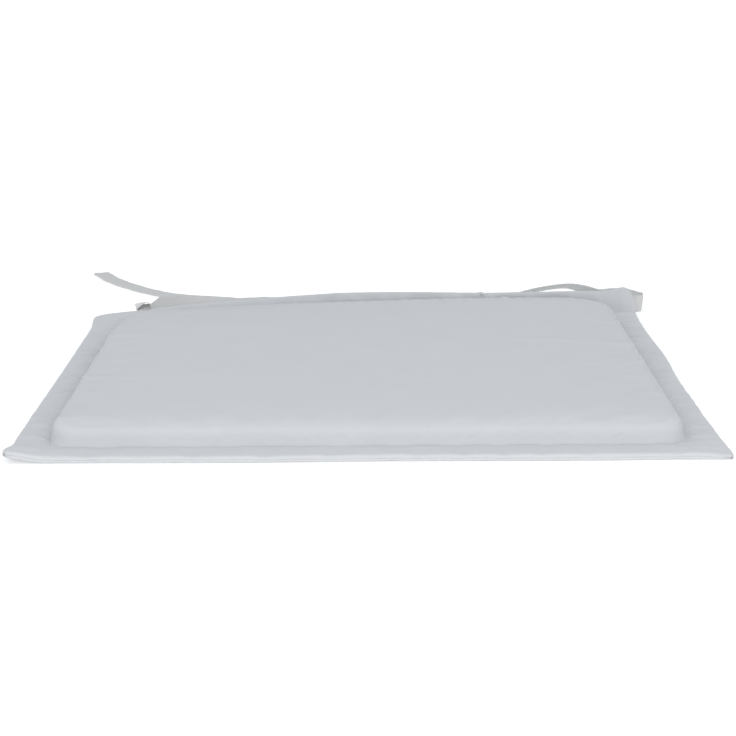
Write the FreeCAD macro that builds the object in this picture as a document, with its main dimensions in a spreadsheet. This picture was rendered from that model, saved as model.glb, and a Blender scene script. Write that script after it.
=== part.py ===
"""Flat chair seat pad with fabric ties, as separate sewn pieces. Millimetres.

The pad lies on the plane z = 0, centred on the origin. +X is to the sitter's right,
+Y points to the chair's back, where the ties leave the seam, and +Z is up.
A foam slab lies between two covers. The covers run on past the foam as a flat flange,
whose outer seam is turned, so each cover has its seam allowance folded inside.
"""
import FreeCAD, Part
import math
import os

import Sketcher

DIMENSIONS = (
    # alias, size, what it is
    ("pad_width", 460, "overall width, flange edge to flange edge"),
    ("pad_depth", 460, "overall depth, flange edge to flange edge"),
    ("pad_height", 19, "height of the padded top above the seat"),
    ("flange_width", 25, "flat flange outside the border seam"),
    ("flange_height", 5.6, "height of the loose flange"),
    ("fabric", 0.8, "thickness of one cover"),
    ("clearance", 0.3, "slack between the foam and a cover"),
    ("shoulder", 10, "rounding of the padded top's edge"),
    ("front_corner", 14, "radius of the padded body's front corners"),
    ("back_corner", 42, "radius of the padded body's back corners"),
    ("flange_front_corner", 4, "radius of the flange's front corners"),
    ("flange_back_corner", 20, "radius of the flange's back corners"),
    ("allowance", 10, "seam allowance folded into the flange"),
    ("seam_inset", 6, "outer seam's distance from the flange edge"),
    ("border_gap", 2, "border topstitch's distance from the padded body"),
    ("thread", 0.5, "sewing thread's thickness"),
    ("tie_spacing", 184, "distance between the two ties' roots"),
    ("tie_width", 15, "width of the tie strip"),
    ("tie_thickness", 1.2, "thickness of the folded and stitched tie strip"),
    ("tie_inside", 12, "length of the tie's fold inside the flange"),
    ("tail_slack", 0.1, "gap between one tail and the tail that it lies on"),
    ("tail_drop", 10, "length over which a flat tail comes down from the seam"),
    ("tail_stitch", 6.4, "edge stitching's distance from a tail's centre line"),
    ("tail_thread", 0.3, "thickness of the edge stitching's thread"),
    ("tack_width", 12, "length of the back-tack across the tie"),
    ("tack_depth", 1.2, "breadth of the back-tack"),
    ("tack_height", 0.4, "height of the back-tack"),
    ("label_width", 16, "width of the folded care label"),
    ("label_offset", 194, "care label's distance from the pad's centre line"),
    ("label_inside", 8, "length of the care label caught in the seam"),
    ("label_rise", 10, "height of the care label's loop above the seam"),
    ("label_loop", 2.6, "depth of the care label's loop"),
    ("label_layer", 0.3, "thickness of one layer of the care label"),
)

# The four tails' routes, seen from above. Each point is (right, back) of its tie's root.
LEFT_OUTER = (
    (0, 0), (0, 19), (-6, 37), (-17, 52.5), (-33, 63.5), (-55, 71.5),
    (-84, 84), (-111, 112), (-133, 149), (-157, 180), (-173, 206),
)
LEFT_INNER = (
    (0, 0), (0, 19), (6, 37), (18, 52), (35, 64), (58, 72),
    (88, 77), (124, 79), (162, 77), (200, 73.5), (238, 73),
)
RIGHT_INNER = (
    (-4, 0), (-19, 14.5), (-43, 24.5), (-74, 28.5), (-107, 27.5), (-140, 23),
    (-174, 24), (-208, 30), (-240, 37), (-260, 40), (-279, 41.5),
)
RIGHT_OUTER = (
    (4, 0), (19, 14.5), (43, 23.5), (70, 26.5), (98, 24.5), (121, 20.5), (137.5, 21.5),
    (147.1, 32.4), (146.2, 46.9), (135.3, 56.5), (111.4, 55), (77, 57), (42.5, 56),
)
ARC_SHARE = 0.45  # of the shorter run beside a corner, taken up by its arc

doc = FreeCAD.newDocument("seat_pad")
sheet = doc.addObject("Spreadsheet::Sheet", "Dimensions")
for row, (alias, value, note) in enumerate(DIMENSIONS, start=1):
    sheet.set(f"A{row}", note)
    sheet.set(f"B{row}", str(value))
    sheet.setAlias(f"B{row}", alias)
doc.recompute()


def size(expression):
    """The value of an expression written with the sheet's aliases, such as 'pad_width / 2'."""
    return float(sheet.evalExpression(expression))


def bound(expression):
    """The same expression as another object has to write it, with the sheet named."""
    aliases = {alias for alias, value, note in DIMENSIONS}
    return " ".join(f"Dimensions.{word}" if word in aliases else word for word in expression.split())


# ---------------------------------------------------------------- sketches and features

SEAM = "flange_height / 2"  # height at which the two covers meet


def new_body(name):
    body = doc.addObject("PartDesign::Body", name)
    body.Label = name
    return body


def flat_sketch(body, height):
    """A sketch parallel to the body's XY plane, at the given height."""
    sketch = body.newObject("Sketcher::SketchObject", body.Name + "_sketch")
    plane = next(f for f in body.Origin.OriginFeatures if f.Role == "XY_Plane")
    sketch.AttachmentSupport = [(plane, "")]
    sketch.MapMode = "FlatFace"
    sketch.setExpression("AttachmentOffset.Base.z", bound(height))
    return sketch


def add_outline(sketch, half_width, half_depth, front_radius, back_radius):
    """A rounded rectangle about the origin, with its own radius for front and back."""
    x, y = size(half_width), size(half_depth)
    front, back = size(front_radius), size(back_radius)
    corners = (
        (x - front, front - y, front, -90),
        (x - back, y - back, back, 0),
        (back - x, y - back, back, 90),
        (front - x, front - y, front, 180),
    )
    arcs = []
    for centre_x, centre_y, radius, start in corners:
        circle = Part.Circle(FreeCAD.Vector(centre_x, centre_y, 0), FreeCAD.Vector(0, 0, 1), radius)
        arcs.append(Part.ArcOfCircle(circle, math.radians(start), math.radians(start + 90)))
    first = len(sketch.Geometry)
    for number, arc in enumerate(arcs):
        following = arcs[(number + 1) % len(arcs)]
        sketch.addGeometry(arc, False)
        sketch.addGeometry(Part.LineSegment(arc.EndPoint, following.StartPoint), False)
    front_right, right, back_right, rear, back_left, left, front_left, fore = range(first, first + 8)
    for number in range(8):
        after = first + (number + 1) % 8
        sketch.addConstraint(Sketcher.Constraint("Tangent", first + number, 2, after, 1))
    sketch.addConstraint(Sketcher.Constraint("Vertical", right))
    sketch.addConstraint(Sketcher.Constraint("Horizontal", rear))
    sketch.addConstraint(Sketcher.Constraint("Vertical", left))
    sketch.addConstraint(Sketcher.Constraint("Horizontal", fore))
    sketch.addConstraint(Sketcher.Constraint("Equal", front_right, front_left))
    sketch.addConstraint(Sketcher.Constraint("Equal", back_right, back_left))
    sized = (
        (Sketcher.Constraint("Radius", front_right, front), front_radius),
        (Sketcher.Constraint("Radius", back_right, back), back_radius),
        (Sketcher.Constraint("DistanceX", -1, 1, right, 1, x), half_width),
        (Sketcher.Constraint("DistanceX", left, 1, -1, 1, x), half_width),
        (Sketcher.Constraint("DistanceY", -1, 1, rear, 1, y), half_depth),
        (Sketcher.Constraint("DistanceY", fore, 1, -1, 1, y), half_depth),
    )
    for constraint, expression in sized:
        index = sketch.addConstraint(constraint)
        sketch.setExpression(f"Constraints[{index}]", bound(expression))


def flange_outline(sketch, inset):
    """The pad's outer outline, drawn in by inset."""
    add_outline(
        sketch,
        f"pad_width / 2 - {inset}",
        f"pad_depth / 2 - {inset}",
        f"max( flange_front_corner - {inset} ; 1 )",
        f"flange_back_corner - {inset}",
    )


def body_outline(sketch, inset):
    """The padded body's outline inside the flange, drawn in by inset."""
    add_outline(
        sketch,
        f"pad_width / 2 - flange_width - {inset}",
        f"pad_depth / 2 - flange_width - {inset}",
        f"front_corner - {inset}",
        f"back_corner - {inset}",
    )


def pad(body, sketch, length):
    feature = body.newObject("PartDesign::Pad", body.Name + "_pad")
    feature.Profile = sketch
    feature.setExpression("Length", bound(length))
    sketch.Visibility = False
    doc.recompute()
    return feature


def hollow(body, sketch, length):
    """A pocket cut upwards from the sketch, checked by the volume that it takes away."""
    before = body.Shape.Volume
    feature = body.newObject("PartDesign::Pocket", body.Name + "_pocket")
    feature.Profile = sketch
    feature.Reversed = True
    feature.setExpression("Length", bound(length))
    doc.recompute()
    if body.Shape.Volume >= before - 1:
        raise RuntimeError(f"a pocket in {body.Label} cuts nothing")
    return feature


def round_edges(body, height, radius):
    """Round every edge of the body that lies flat at the given height."""
    level = size(height)
    base = body.Tip
    names = [
        f"Edge{number}"
        for number, edge in enumerate(base.Shape.Edges, start=1)
        if abs(edge.BoundBox.ZMin - level) < 1e-4 and abs(edge.BoundBox.ZMax - level) < 1e-4
    ]
    feature = body.newObject("PartDesign::Fillet", body.Name + "_fillet")
    feature.Base = (base, names)
    feature.setExpression("Radius", bound(radius))
    doc.recompute()
    return feature


def ring(name, outline, inset, height, thickness):
    """A closed loop of thread that follows an outline at the given inset."""
    body = new_body(name)
    sketch = flat_sketch(body, height)
    outline(sketch, f"( {inset} - {thickness} / 2 )")
    outline(sketch, f"( {inset} + {thickness} / 2 )")
    pad(body, sketch, thickness)
    return body


def box(name, corner, lengths):
    """A Part::Box with its lowest corner and its three lengths bound to the sheet."""
    block = doc.addObject("Part::Box", name)
    for property_name, expression in zip(("Length", "Width", "Height"), lengths):
        block.setExpression(property_name, bound(expression))
    for letter, expression in zip("xyz", corner):
        block.setExpression(f"Placement.Base.{letter}", bound(expression))
    return block


def cut(name, base, tool):
    result = doc.addObject("Part::Cut", name)
    result.Label = name
    result.Base = base
    result.Tool = tool
    doc.recompute()
    return result


def fuse(name, shapes):
    result = doc.addObject("Part::MultiFuse", name)
    result.Shapes = shapes
    doc.recompute()
    return result


# ---------------------------------------------------------------- the padded body

def make_foam_core():
    """The foam slab, square at its foot and rounded at the shoulder like the cover over it."""
    body = new_body("foam_core")
    sketch = flat_sketch(body, "fabric")
    body_outline(sketch, "( fabric + clearance )")
    pad(body, sketch, "pad_height - 2 * fabric")
    round_edges(body, "pad_height - fabric", "shoulder - fabric - clearance")
    return body


def make_top_shell():
    """The upper cover: a domed panel whose flange ends in a folded seam allowance."""
    body = new_body("top_shell")
    sketch = flat_sketch(body, SEAM)
    flange_outline(sketch, "0")
    pad(body, sketch, "flange_height / 2")
    sketch = flat_sketch(body, SEAM)
    body_outline(sketch, "0")
    pad(body, sketch, "pad_height - flange_height / 2")
    round_edges(body, "pad_height", "shoulder")
    sketch = flat_sketch(body, SEAM)
    flange_outline(sketch, "allowance")
    hollow(body, sketch, "fabric")
    sketch = flat_sketch(body, "flange_height / 2 + fabric")
    flange_outline(sketch, "fabric")
    hollow(body, sketch, "flange_height / 2 - 2 * fabric")
    return body


def make_foam_space():
    """The space under the upper cover that the foam fills, with the cover's own rounding."""
    body = new_body("foam_space")
    sketch = flat_sketch(body, SEAM)
    body_outline(sketch, "fabric")
    pad(body, sketch, "pad_height - fabric - flange_height / 2")
    round_edges(body, "pad_height - fabric", "shoulder - fabric")
    return body


def make_bottom_shell():
    """The lower cover: a flat panel whose edge turns up and ends in its own seam allowance."""
    body = new_body("bottom_shell")
    sketch = flat_sketch(body, "0")
    flange_outline(sketch, "0")
    pad(body, sketch, SEAM)
    sketch = flat_sketch(body, "fabric")
    flange_outline(sketch, "fabric")
    hollow(body, sketch, "flange_height / 2 - 2 * fabric")
    sketch = flat_sketch(body, "flange_height / 2 - fabric")
    flange_outline(sketch, "allowance")
    hollow(body, sketch, "fabric")
    return body


# ---------------------------------------------------------------- ties and label in the seam

def make_fold_blank(side, root):
    """The middle of a tie strip: two layers in the back seam, round where the strip is folded."""
    block = box(
        f"tie_{side}_block",
        (f"{root} - tie_width / 2", "pad_depth / 2 - tie_inside", "flange_height / 2 - tie_thickness"),
        ("tie_width", "tie_inside", "2 * tie_thickness"),
    )
    doc.recompute()
    inner = size("pad_depth / 2 - tie_inside")
    edges = [
        number
        for number, edge in enumerate(block.Shape.Edges, start=1)
        if abs(edge.BoundBox.YMax - inner) < 1e-4 and edge.BoundBox.XLength > 1
    ]
    radius = 0.98 * size("tie_thickness")
    rounded = doc.addObject("Part::Fillet", f"tie_{side}_blank")
    rounded.Base = block
    rounded.Edges = [(number, radius, radius) for number in edges]
    doc.recompute()
    return rounded


def make_tack(side, root):
    """The back-tack: a short dense bar of thread across the fold."""
    tack = box(
        f"tie_{side}_tack",
        (
            f"{root} - tack_width / 2",
            "pad_depth / 2 - tie_inside + 2 * tack_depth",
            "flange_height / 2 + tie_thickness",
        ),
        ("tack_width", "tack_depth", "tack_height"),
    )
    tack.Label = f"tie_{side}_tack"
    return tack


def make_label():
    """The care label: a strip folded into an upright loop, both of its ends in the seam."""
    edge = size("pad_depth / 2")
    layer = size("label_layer")
    foot = size("flange_height / 2") - layer
    near = edge + layer
    far = near + size("label_loop")
    top = foot + size("label_rise")
    left = -size("label_offset + label_width / 2")
    outer = (
        (edge - size("label_inside"), foot), (far, foot), (far, top),
        (near, top), (near, foot + 2 * layer), (edge - size("label_inside"), foot + 2 * layer),
    )
    inner = (
        (near + layer, foot + layer), (far - layer, foot + layer),
        (far - layer, top - layer), (near + layer, top - layer),
    )

    def face(corners):
        points = [FreeCAD.Vector(left, y, z) for y, z in corners]
        return Part.Face(Part.makePolygon(points + points[:1]))

    label = doc.addObject("Part::Feature", "care_label_blank")
    profile = face(outer).cut(face(inner))
    label.Shape = profile.extrude(FreeCAD.Vector(size("label_width"), 0, 0))
    return label


# ---------------------------------------------------------------- tails

def left_normal(direction):
    return FreeCAD.Vector(-direction.y, direction.x, 0)


def unit(vector):
    return FreeCAD.Vector(vector).normalize()


def corner_arc(before, at, after):
    """Where the arc at a route's corner starts and ends, its centre, radius and turning side."""
    run_in, run_out = at - before, after - at
    turn = run_in.getAngle(run_out)
    reach = ARC_SHARE * min(run_in.Length, run_out.Length)
    radius = reach / math.tan(turn / 2)
    side = math.copysign(1, run_in.cross(run_out).z)
    start = at - unit(run_in) * reach
    end = at + unit(run_out) * reach
    centre = start + left_normal(unit(run_in)) * (side * radius)
    return start, end, centre, radius, side


def side_edges(points, shift):
    """Straight runs and tangent arcs along a route, shifted to its left by shift."""
    edges = []
    current = points[0] + left_normal(unit(points[1] - points[0])) * shift
    for before, at, after in zip(points, points[1:], points[2:]):
        start, end, centre, radius, side = corner_arc(before, at, after)
        scale = (radius - side * shift) / radius
        middle = unit((start + end) * 0.5 - centre) * (radius - side * shift)
        arc_start = centre + (start - centre) * scale
        arc_end = centre + (end - centre) * scale
        edges.append(Part.LineSegment(current, arc_start).toShape())
        edges.append(Part.Arc(arc_start, centre + middle, arc_end).toShape())
        current = arc_end
    last = points[-1] + left_normal(unit(points[-1] - points[-2])) * shift
    edges.append(Part.LineSegment(current, last).toShape())
    return edges


def ribbon(points, near, far, low, high):
    """A strip along a route, between two shifts from its line and between two heights."""
    right, left = side_edges(points, near), side_edges(points, far)
    caps = [
        Part.LineSegment(right[0].Vertexes[0].Point, left[0].Vertexes[0].Point).toShape(),
        Part.LineSegment(right[-1].Vertexes[-1].Point, left[-1].Vertexes[-1].Point).toShape(),
    ]
    outline = Part.Wire(Part.sortEdges(right + left + caps)[0])
    outline.translate(FreeCAD.Vector(0, 0, low))
    return Part.Face(outline).extrude(FreeCAD.Vector(0, 0, high - low))


def behind(distance):
    """The block of space in front of a plane that lies behind the pad by the given distance."""
    width, depth = size("2 * pad_width"), size("pad_depth")
    return Part.makeBox(width, depth, depth, FreeCAD.Vector(-width / 2, distance - depth, -depth / 2))


def route_points(route, root):
    edge = size("pad_depth / 2")
    return [FreeCAD.Vector(root + x, edge + y, 0) for x, y in route]


def report_route(name, points):
    """Print the route's length and its arcs' radii, and return the length."""
    radii = [corner_arc(*three)[3] for three in zip(points, points[1:], points[2:])]
    length = sum(edge.Length for edge in side_edges(points, 0))
    print(f"{name}: length {length:.1f}, radii " + " ".join(f"{radius:.0f}" for radius in radii))
    return length


def check_volume(name, shape, length):
    """A tail's volume has to be its section times its length."""
    wanted = size("tie_width * tie_thickness") * length
    if abs(shape.Volume - wanted) > 0.02 * wanted:
        raise RuntimeError(f"{name}: volume {shape.Volume:.0f} instead of {wanted:.0f}")


def add_tail(name, tail, stitch):
    """Put a tail and its edge stitching, which is sunk flush into it, in the document."""
    for label, shape in ((name + "_tail", tail.cut(stitch)), (name + "_stitch", stitch)):
        feature = doc.addObject("Part::Feature", label)
        feature.Shape = shape
        feature.Label = label
        feature.Placement = FreeCAD.Placement()
        NODES.append(feature)


def flat_tail(name, route, root, seam_height, rest_height):
    """A tail that comes down from its layer in the seam and then lies flat."""
    points = route_points(route, root)
    length = report_route(name, points)
    edge, drop = size("pad_depth / 2"), size("tail_drop")
    half, thick, thread = size("tie_width / 2"), size("tie_thickness"), size("tail_thread")
    profile = [
        FreeCAD.Vector(root - half, edge, seam_height),
        FreeCAD.Vector(root - half, edge, seam_height + thick),
        FreeCAD.Vector(root - half, edge + drop, rest_height + thick),
        FreeCAD.Vector(root - half, edge + drop, rest_height),
    ]
    descent = Part.Face(Part.makePolygon(profile + profile[:1])).extrude(FreeCAD.Vector(2 * half, 0, 0))
    lying = ribbon(points, -half, half, rest_height, rest_height + thick).cut(behind(edge + drop))
    tail = descent.fuse(lying).removeSplitter()
    check_volume(name, tail, length)
    line = size("tail_stitch")
    stitch = ribbon(points, line, line + thread, rest_height + thick - thread, rest_height + thick)
    add_tail(name, tail, stitch.cut(behind(edge + drop)))


def upright_tail(name, route, root, rest_height):
    """A tail that stands on one of its edges all along."""
    points = route_points(route, root)
    length = report_route(name, points)
    started = [points[0] - unit(points[1] - points[0]) * size("tie_thickness")] + points[1:]
    half, width, thread = size("tie_thickness / 2"), size("tie_width"), size("tail_thread")
    pad_space = behind(size("pad_depth / 2"))
    tail = ribbon(started, -half, half, rest_height, rest_height + width).cut(pad_space)
    check_volume(name, tail, length)
    line = rest_height + width / 2 + size("tail_stitch")
    stitch = ribbon(started, half - thread, half, line, line + thread).cut(pad_space)
    add_tail(name, tail, stitch)


# ---------------------------------------------------------------- the assembly

foam_core = make_foam_core()
edge_seam_thread = ring(
    "edge_seam_thread", flange_outline, "seam_inset", "flange_height / 2 - thread / 2", "thread"
)
border_needle_thread = ring(
    "border_needle_thread", body_outline, "0 - border_gap", "flange_height", "thread"
)
border_bobbin_thread = ring("border_bobbin_thread", body_outline, "0 - border_gap", "0", "thread")

ROOTS = {"left": "0 - tie_spacing / 2", "right": "tie_spacing / 2"}
blanks = {side: make_fold_blank(side, root) for side, root in ROOTS.items()}
folds = [cut(f"tie_{side}_fold", blank, edge_seam_thread) for side, blank in blanks.items()]
tacks = [make_tack(side, root) for side, root in ROOTS.items()]
label_blank = make_label()
care_label = cut("care_label", label_blank, edge_seam_thread)

seam_contents = fuse("seam_contents", [edge_seam_thread, label_blank, *blanks.values()])
topside_contents = fuse("topside_contents", [seam_contents, make_foam_space()])
top_cover = cut("top_cover", make_top_shell(), topside_contents)
underside_contents = fuse("underside_contents", [seam_contents, border_bobbin_thread])
bottom_cover = cut("bottom_cover", make_bottom_shell(), underside_contents)

NODES = [
    foam_core, top_cover, bottom_cover,
    edge_seam_thread, border_needle_thread, border_bobbin_thread,
    *folds, *tacks, care_label,
]

lower_layer = size("flange_height / 2 - tie_thickness")
upper_layer = size("flange_height / 2")
on_lower_tail = size("tie_thickness + tail_slack")
left_root, right_root = (size(root) for root in ROOTS.values())
flat_tail("tie_left_outer", LEFT_OUTER, left_root, upper_layer, on_lower_tail)
flat_tail("tie_left_inner", LEFT_INNER, left_root, lower_layer, 0)
upright_tail("tie_right_inner", RIGHT_INNER, right_root, size("2 * tie_thickness + 3 * tail_slack"))
upright_tail("tie_right_outer", RIGHT_OUTER, right_root, 0)
doc.recompute()

for item in doc.Objects:
    if {"Invalid", "Error"} & set(item.State):
        raise RuntimeError(f"{item.Label} did not build: {item.State}")
for node in NODES:
    if node.Shape.isNull() or not node.Shape.isValid() or not node.Shape.Solids:
        raise RuntimeError(f"{node.Label} has no valid solid")

os.makedirs("parts", exist_ok=True)
for node in NODES:
    node.Shape.exportStep(f"parts/{node.Label}.step")
    limits = node.Shape.optimalBoundingBox()
    print(
        f"{node.Label}: {len(node.Shape.Solids)} solid, volume {node.Shape.Volume:.1f}, "
        f"x {limits.XMin:.1f} to {limits.XMax:.1f}, y {limits.YMin:.1f} to {limits.YMax:.1f}, "
        f"z {limits.ZMin:.2f} to {limits.ZMax:.2f}"
    )
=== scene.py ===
import math

import bpy
import numpy as np
from mathutils import Matrix, Vector, noise


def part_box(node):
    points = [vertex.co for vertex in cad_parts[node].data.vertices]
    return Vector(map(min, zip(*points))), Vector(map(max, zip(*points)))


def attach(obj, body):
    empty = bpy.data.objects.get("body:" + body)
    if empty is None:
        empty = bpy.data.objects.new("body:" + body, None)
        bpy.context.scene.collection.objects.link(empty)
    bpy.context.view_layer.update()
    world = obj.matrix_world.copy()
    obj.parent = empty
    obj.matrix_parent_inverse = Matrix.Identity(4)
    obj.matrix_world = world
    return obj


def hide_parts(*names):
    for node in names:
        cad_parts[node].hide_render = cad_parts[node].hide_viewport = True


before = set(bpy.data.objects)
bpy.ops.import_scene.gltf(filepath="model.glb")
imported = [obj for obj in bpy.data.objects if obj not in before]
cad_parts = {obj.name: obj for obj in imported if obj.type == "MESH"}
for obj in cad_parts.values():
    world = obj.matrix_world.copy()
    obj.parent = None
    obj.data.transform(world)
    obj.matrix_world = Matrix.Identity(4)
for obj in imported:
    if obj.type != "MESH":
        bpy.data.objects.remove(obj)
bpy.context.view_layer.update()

# ---------------------------------------------------------------- sizes, in metres
COVER_LOW, COVER_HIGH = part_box("top_cover")
NEEDLE_LOW, NEEDLE_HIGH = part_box("border_needle_thread")
EDGE_THREAD_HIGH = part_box("edge_seam_thread")[1]
LEFT_FOLD_LOW, LEFT_FOLD_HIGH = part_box("tie_left_fold")
LEFT_TACK_LOW, LEFT_TACK_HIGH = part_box("tie_left_tack")
LABEL_LOW, LABEL_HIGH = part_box("care_label")

HALF = COVER_HIGH[0]  # pad's middle to the flange edge
SEAM_Z = COVER_LOW[2]  # height at which the two covers meet
THREAD = NEEDLE_HIGH[2] - NEEDLE_LOW[2]
SEAM_HALF = NEEDLE_HIGH[0] - THREAD / 2  # pad's middle to the border stitching
FLANGE = HALF - SEAM_HALF
TABLE = 0.0001  # height that no point of a soft piece goes below
CLOTH = 0.0008  # thickness of one cover
FOAM_GAP = 0.0004  # between the foam and the inside of each cover
FLANGE_FRONT_CORNER, FLANGE_BACK_CORNER = 0.004, 0.020
BODY_FRONT_CORNER, BODY_BACK_CORNER = 0.014, 0.042
CELL = 0.0055  # spacing of the points that form the padded top, before it is refined
CROWN = 0.0019  # rise of the padded top from its shoulder to its middle
UNEVEN = 0.0007  # height of the padded top's faint unevenness
SWAY = 0.0012  # how far the flange edge strays from a straight line
STITCH_PITCH = 0.0034
STITCH_LENGTH = 0.0029
TAPE_WIDTH, TAPE_THICKNESS = 0.015, 0.0012
TAPE_THREAD = 0.0004
TAPE_STEP = 0.0018  # length of tape between two rows of its mesh
TAPE_SEAM = 0.0062  # tape's middle line to its row of edge stitches
TAPE_SEAM_RISE = 0.00052  # tape's middle layer to the middle of a stitch
TIE_LAYER = 0.0006  # half the distance between the two layers of a folded tie
TIE_X = (LEFT_FOLD_HIGH[0] + LEFT_FOLD_LOW[0]) / 2  # left tie's place; the right tie mirrors it
LABEL_THICKNESS, LABEL_DEPTH = 0.0004, 0.010
LABEL_LEAN = -0.25  # sideways drift of the label's loop for each unit of its depth
LABEL_LEVEL = 0.0100  # height on which its loop closes

# Outside of the covers from the flange edge to the padded top's flat part.
# Each point is (inset from the flange edge, height above or below the seam).
TOP_EDGE = (
    (0, 0), (0.0003, 0.0013), (0.0012, 0.0023), (0.0036, 0.0026), (0.0075, 0.0025),
    (0.0112, 0.0024), (0.0148, 0.0021), (0.0180, 0.0017), (0.0207, 0.0012), (FLANGE, 0.0009),
    (FLANGE + 0.0010, 0.0030), (FLANGE + 0.0017, 0.0062), (FLANGE + 0.0022, 0.0094),
    (FLANGE + 0.0028, 0.0120), (FLANGE + 0.0036, 0.0134), (FLANGE + 0.0046, 0.0142),
    (FLANGE + 0.0058, 0.0146), (FLANGE + 0.0072, 0.0148), (FLANGE + 0.0090, 0.0150),
)
BOTTOM_EDGE = (
    (0, 0), (0.0003, -0.0013), (0.0012, -0.0023), (0.0036, -0.0026), (0.0075, -0.0026),
    (0.0112, -0.0025), (0.0148, -0.0022), (0.0180, -0.0018), (0.0207, -0.0013), (FLANGE, -0.0010),
    (FLANGE + 0.0012, -0.0017), (FLANGE + 0.0024, -0.0022), (FLANGE + 0.0036, -0.0025),
    (FLANGE + 0.0046, -0.0026), (FLANGE + 0.0056, -0.0026), (FLANGE + 0.0066, -0.0026),
    (FLANGE + 0.0074, -0.0026), (FLANGE + 0.0082, -0.0026), (FLANGE + 0.0090, -0.0026),
)
SEAM_RING = 9  # which of those points lies on the border stitching

# What the simulation may do: the most that a point may move, and the flange's share of its move.
MOST_MOVE, FLANGE_SHARE = 0.0028, 0.3

# Height of the flange's outer edge along the back, where it curls up off the seat.
BACK_EDGE = (
    (-0.230, 0.0029), (-0.196, 0.0030), (-0.175, 0.0056), (-0.146, 0.0100), (-0.101, 0.0148),
    (-0.058, 0.0192), (-0.028, 0.0218), (0.106, 0.0218), (0.128, 0.0228), (0.180, 0.0228),
    (0.200, 0.0212), (0.224, 0.0218), (0.240, 0.0218),
)
BEND = 0.007  # breadth of the flange that is bent where it curls; beyond that it is straight
STEEPEST = 1.52  # steepest curl, in radians
# Height of the padded top's back rim, which is softer towards the left corner.
BACK_RIM = (
    (-0.210, 0.0064), (-0.182, 0.0070), (-0.142, 0.0084), (-0.100, 0.0104), (-0.052, 0.0134),
    (0.002, 0.0150), (0.064, 0.0163), (0.126, 0.0178), (0.210, 0.0182),
)
BACK_SLOPE_START, BACK_SLOPE_LENGTH = 0.085, 0.115  # where the top slopes down to that rim
FRONT_SLOPE_START, FRONT_SLOPE_LENGTH = 0.002, 0.013  # the same in front, from the stitching
FRONT_SINK = 0.25  # share of its height that the front rim loses
# Height of the lip that the cover forms along the back, where it is pulled over the foam's edge.
BACK_LIP = (
    (-0.210, 0.0060), (-0.170, 0.0088), (-0.100, 0.0076), (-0.052, 0.0040), (0.002, 0.0036),
    (0.064, 0.0040), (0.126, 0.0028), (0.210, 0.0022),
)
SIDE_LIP = 0.0018
LIP_INSET = 0.0065  # border stitching to the lip's crest
# Creases of the padded top: where each starts and ends, its breadth and its height.
CREASES = (
    ((-0.206, 0.060), (-0.160, 0.064), 0.0030, 0.00182),
    ((-0.206, -0.074), (-0.160, -0.090), 0.0030, 0.00182),
    ((-0.206, -0.190), (-0.172, -0.186), 0.0028, 0.00156),
    ((0.206, 0.020), (0.150, 0.024), 0.0026, 0.00208),
    ((0.152, 0.024), (0.090, 0.032), 0.0032, 0.00156),
    ((0.206, -0.036), (0.142, -0.056), 0.0030, 0.00182),
    ((0.204, 0.101), (0.176, 0.106), 0.0024, 0.00156),
    ((0.200, 0.129), (0.184, 0.134), 0.0024, 0.00156),
    ((0.206, -0.131), (0.180, -0.134), 0.0026, 0.00130),
    ((0.116, 0.199), (0.142, 0.186), 0.0026, 0.00156),
    ((0.142, 0.188), (0.180, 0.166), 0.0032, 0.00208),
)
# Gathers of the flange: their height on each cover, the front side's share of it, and their spacing.
TOP_GATHER, BOTTOM_GATHER, FRONT_GATHER = 0.0025, 0.0002, 0.12
CLOSEST_GATHERS, WIDEST_GATHERS = 0.010, 0.038
THINNEST_GATHER, BROADEST_GATHER = 0.0016, 0.0024
# Pulls on the limp pad's corners: the place, how far the pull reaches, and how it moves the place.
BACK_RIGHT_PULL = ((HALF, HALF), 0.024, (0.0010, 0.0090, 0))
FRONT_PULLS = (
    ((-HALF, -HALF), 0.030, (0, 0, 0.0040)),
    ((HALF, -HALF), 0.024, (0, 0, -0.0014)),
)
BACK_LEFT_PULLS = (
    ((-SEAM_HALF, SEAM_HALF), 0.060, (-0.0055, 0.0030, 0)),
    ((-HALF, HALF), 0.055, (0, -0.0130, 0)),
)
# How the front flange is drawn: outward near its two corners, forward, and down.
FRONT_OUTWARD, FRONT_FORWARD, FRONT_DOWN = 0.0016, 0.0024, 0.0004
OUTWARD_START, OUTWARD_LENGTH = 0.18, 0.05  # from the pad's middle line, where that first one grows
# The right side is drawn in by this much, most at this place along it, fading over this length.
RIGHT_WAIST, WAIST_Y, WAIST_LENGTH = 0.0026, -0.030, 0.055

# ---------------------------------------------------------------- camera
CAMERA_PLACE = (0.0019, -1.3811, 0.3315)
CAMERA_PITCH, CAMERA_YAW, CAMERA_ROLL = 0.2311, 0.0011, -0.0066
CAMERA_LENS, CAMERA_SENSOR = 92.53, 36.0


def add_camera():
    """The view from low in front, as the pad lies on a table."""
    data = bpy.data.cameras.new("camera")
    data.lens = CAMERA_LENS
    data.sensor_width = CAMERA_SENSOR
    camera = bpy.data.objects.new("camera", data)
    bpy.context.scene.collection.objects.link(camera)
    camera.matrix_world = (
        Matrix.Translation(CAMERA_PLACE)
        @ Matrix.Rotation(CAMERA_YAW, 4, "Z")
        @ Matrix.Rotation(math.pi / 2 - CAMERA_PITCH, 4, "X")
        @ Matrix.Rotation(CAMERA_ROLL, 4, "Z")
    )
    bpy.context.scene.camera = camera


# ---------------------------------------------------------------- numbers and meshes
def smooth(value):
    """0 below 0, 1 above 1, and an even slope between."""
    value = np.clip(value, 0, 1)
    return value * value * (3 - 2 * value)


def along(stops, x, spread=0.012):
    """The value at x of a line through the stops, with its corners rounded."""
    places, values = zip(*stops)
    shifts = np.linspace(-spread, spread, 9)
    return np.mean([np.interp(x + shift, places, values) for shift in shifts], axis=0)


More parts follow.
